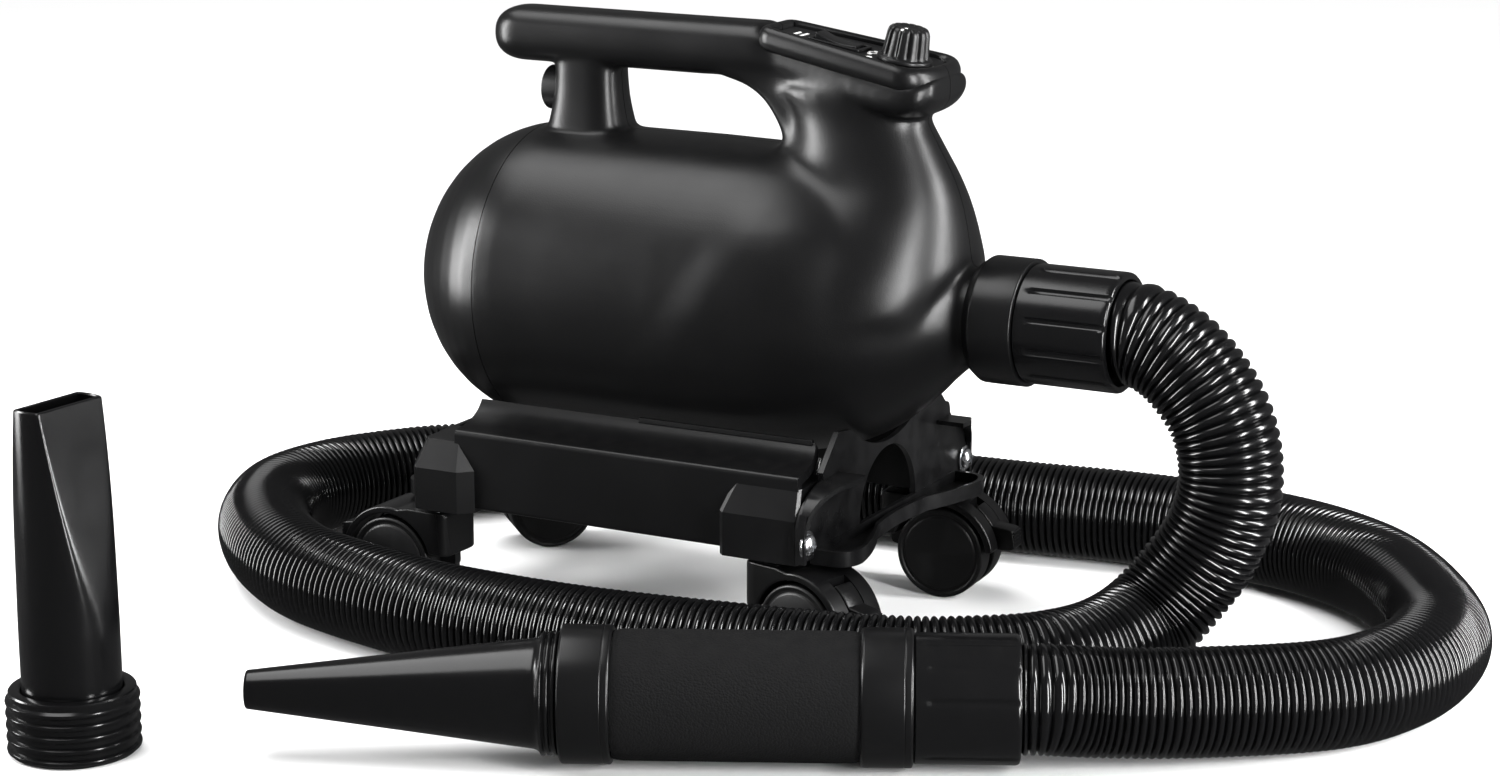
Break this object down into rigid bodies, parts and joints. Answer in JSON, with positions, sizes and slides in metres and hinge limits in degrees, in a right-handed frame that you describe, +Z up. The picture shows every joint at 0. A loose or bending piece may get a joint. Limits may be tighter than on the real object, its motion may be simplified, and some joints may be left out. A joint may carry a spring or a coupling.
{
  "type": "pet dryer",
  "caption": "Barrel-shaped force dryer with a carry handle on a four-caster dock, with a corrugated hose, a grip handset with a cone nozzle and a loose flat nozzle.",
  "frame": {"origin": "on the floor, in the middle of the footprint of the dryer, dock, handset and flat nozzle, without the hose", "axes": "+Z up, +X from the barrel's domed rear towards its air outlet, +Y away from the handset"},
  "size_m": [0.721, 0.5838, 0.3248],
  "materials": {
    "casing_black": "satin moulded plastic",
    "gloss_black": "glossy moulded plastic",
    "hose_black": "glossy corrugated hose",
    "dock_black": "satin moulded plastic",
    "grip_rubber": "matt soft sleeve",
    "wheel_black": "satin wheel plastic",
    "panel_black": "fine satin panel",
    "control_black": "satin knob and rocker plastic",
    "zinc": "bright zinc plated steel",
    "steel": "plain steel",
    "aluminium": "cast aluminium",
    "inner_grey": "grey moulded plastic",
    "filter_foam": "open cell foam",
    "mount_rubber": "soft rubber",
    "board_green": "coated circuit board"
  },
  "bodies": {
    "dryer": {"casing_left": "casing_black", "casing_right": "casing_black", "rear_cover": "casing_black", "intake_filter": "filter_foam", "motor_mount": "mount_rubber", "motor_can": "steel", "fan_casing": "inner_grey", "control_board": "board_green", "control_panel": "panel_black", "speed_control": "steel", "switch_body": "control_black", "power_inlet": "control_black", "outlet_collar": "gloss_black", "outlet_cuff": "gloss_black", "flat_nozzle": "gloss_black", "hose": "hose_black", "rail_near": "dock_black", "rail_far": "dock_black", "front_bridge": "dock_black", "rear_bridge": "dock_black", "screw_front_near": "zinc", "screw_front_far": "zinc", "screw_rear_near": "zinc", "screw_rear_far": "zinc", "handset_cuff": "gloss_black", "rear_collar": "gloss_black", "grip_tube": "inner_grey", "grip_sleeve": "grip_rubber", "front_collar": "gloss_black"},
    "caster_front_near": {"caster_hood_front_near": "dock_black", "caster_stem_front_near": "steel", "caster_axle_front_near": "steel"},
    "wheel_front_near_a": {"wheel_front_near_a": "wheel_black"},
    "wheel_front_near_b": {"wheel_front_near_b": "wheel_black"},
    "brake_front_near": {"brake_lever_front_near": "dock_black"},
    "caster_front_far": {"caster_hood_front_far": "dock_black", "caster_stem_front_far": "steel", "caster_axle_front_far": "steel"},
    "wheel_front_far_a": {"wheel_front_far_a": "wheel_black"},
    "wheel_front_far_b": {"wheel_front_far_b": "wheel_black"},
    "brake_front_far": {"brake_lever_front_far": "dock_black"},
    "caster_rear_near": {"caster_hood_rear_near": "dock_black", "caster_stem_rear_near": "steel", "caster_axle_rear_near": "steel"},
    "wheel_rear_near_a": {"wheel_rear_near_a": "wheel_black"},
    "wheel_rear_near_b": {"wheel_rear_near_b": "wheel_black"},
    "brake_rear_near": {"brake_lever_rear_near": "dock_black"},
    "caster_rear_far": {"caster_hood_rear_far": "dock_black", "caster_stem_rear_far": "steel", "caster_axle_rear_far": "steel"},
    "wheel_rear_far_a": {"wheel_rear_far_a": "wheel_black"},
    "wheel_rear_far_b": {"wheel_rear_far_b": "wheel_black"},
    "brake_rear_far": {"brake_lever_rear_far": "dock_black"},
    "rotor": {"motor_rotor": "steel", "impeller": "aluminium"},
    "knob": {"speed_knob": "control_black"},
    "rocker": {"power_rocker": "control_black"},
    "nozzle": {"cone_nozzle": "gloss_black"}
  },
  "joints": [
    {"name": "swivel_front_near", "type": "hinge", "parent": "dryer", "child": "caster_front_near", "pos_m": [0.04053, 0.06337, 0.057], "axis": [0, 0, 1], "range_deg": [-10, 230]},
    {"name": "roll_front_near_a", "type": "hinge", "parent": "caster_front_near", "child": "wheel_front_near_a", "pos_m": [0.06769, 0.0566, 0.025], "axis": [0.2419, 0.9703, 0], "continuous": true},
    {"name": "roll_front_near_b", "type": "hinge", "parent": "caster_front_near", "child": "wheel_front_near_b", "pos_m": [0.06769, 0.0566, 0.025], "axis": [0.2419, 0.9703, 0], "continuous": true},
    {"name": "brake_front_near", "type": "hinge", "parent": "caster_front_near", "child": "brake_front_near", "pos_m": [0.08561, 0.05213, 0.04785], "axis": [0.2419, 0.9703, 0], "range_deg": [0, 4]},
    {"name": "swivel_front_far", "type": "hinge", "parent": "dryer", "child": "caster_front_far", "pos_m": [0.04053, 0.21737, 0.057], "axis": [0, 0, 1], "range_deg": [-230, 50]},
    {"name": "roll_front_far_a", "type": "hinge", "parent": "caster_front_far", "child": "wheel_front_far_a", "pos_m": [0.06849, 0.21884, 0.025], "axis": [-0.0523, 0.9986, 0], "continuous": true},
    {"name": "roll_front_far_b", "type": "hinge", "parent": "caster_front_far", "child": "wheel_front_far_b", "pos_m": [0.06849, 0.21884, 0.025], "axis": [-0.0523, 0.9986, 0], "continuous": true},
    {"name": "brake_front_far", "type": "hinge", "parent": "caster_front_far", "child": "brake_front_far", "pos_m": [0.08693, 0.21981, 0.04785], "axis": [-0.0523, 0.9986, 0], "range_deg": [0, 4]},
    {"name": "swivel_rear_near", "type": "hinge", "parent": "dryer", "child": "caster_rear_near", "pos_m": [-0.15947, 0.06337, 0.057], "axis": [0, 0, 1], "range_deg": [-225, 8]},
    {"name": "roll_rear_near_a", "type": "hinge", "parent": "caster_rear_near", "child": "wheel_rear_near_a", "pos_m": [-0.18746, 0.06435, 0.025], "axis": [-0.0349, -0.9994, 0], "continuous": true},
    {"name": "roll_rear_near_b", "type": "hinge", "parent": "caster_rear_near", "child": "wheel_rear_near_b", "pos_m": [-0.18746, 0.06435, 0.025], "axis": [-0.0349, -0.9994, 0], "continuous": true},
    {"name": "brake_rear_near", "type": "hinge", "parent": "caster_rear_near", "child": "brake_rear_near", "pos_m": [-0.20592, 0.06499, 0.04785], "axis": [-0.0349, -0.9994, 0], "range_deg": [0, 4]},
    {"name": "swivel_rear_far", "type": "hinge", "parent": "dryer", "child": "caster_rear_far", "pos_m": [-0.15947, 0.21737, 0.057], "axis": [0, 0, 1], "range_deg": [-30, 160]},
    {"name": "roll_rear_far_a", "type": "hinge", "parent": "caster_rear_far", "child": "wheel_rear_far_a", "pos_m": [-0.17927, 0.19757, 0.025], "axis": [0.7071, -0.7071, 0], "continuous": true},
    {"name": "roll_rear_far_b", "type": "hinge", "parent": "caster_rear_far", "child": "wheel_rear_far_b", "pos_m": [-0.17927, 0.19757, 0.025], "axis": [0.7071, -0.7071, 0], "continuous": true},
    {"name": "brake_rear_far", "type": "hinge", "parent": "caster_rear_far", "child": "brake_rear_far", "pos_m": [-0.19233, 0.18451, 0.04785], "axis": [0.7071, -0.7071, 0], "range_deg": [0, 4]},
    {"name": "rotor_spin", "type": "hinge", "parent": "dryer", "child": "rotor", "pos_m": [-0.05647, 0.14037, 0.1755], "axis": [1, 0, 0], "continuous": true},
    {"name": "speed_turn", "type": "hinge", "parent": "dryer", "child": "knob", "pos_m": [0.07453, 0.14037, 0.30507], "axis": [0.168, 0, 0.9858], "range_deg": [0, 270]},
    {"name": "power_press", "type": "hinge", "parent": "dryer", "child": "rocker", "pos_m": [0.03753, 0.14037, 0.31278], "axis": [0, 1, 0], "range_deg": [-12, 0]},
    {"name": "nozzle_twist", "type": "hinge", "parent": "dryer", "child": "nozzle", "pos_m": [-0.01035, -0.12974, 0.0331], "axis": [-0.9007, -0.4344, 0], "range_deg": [-180, 180]}
  ]
}
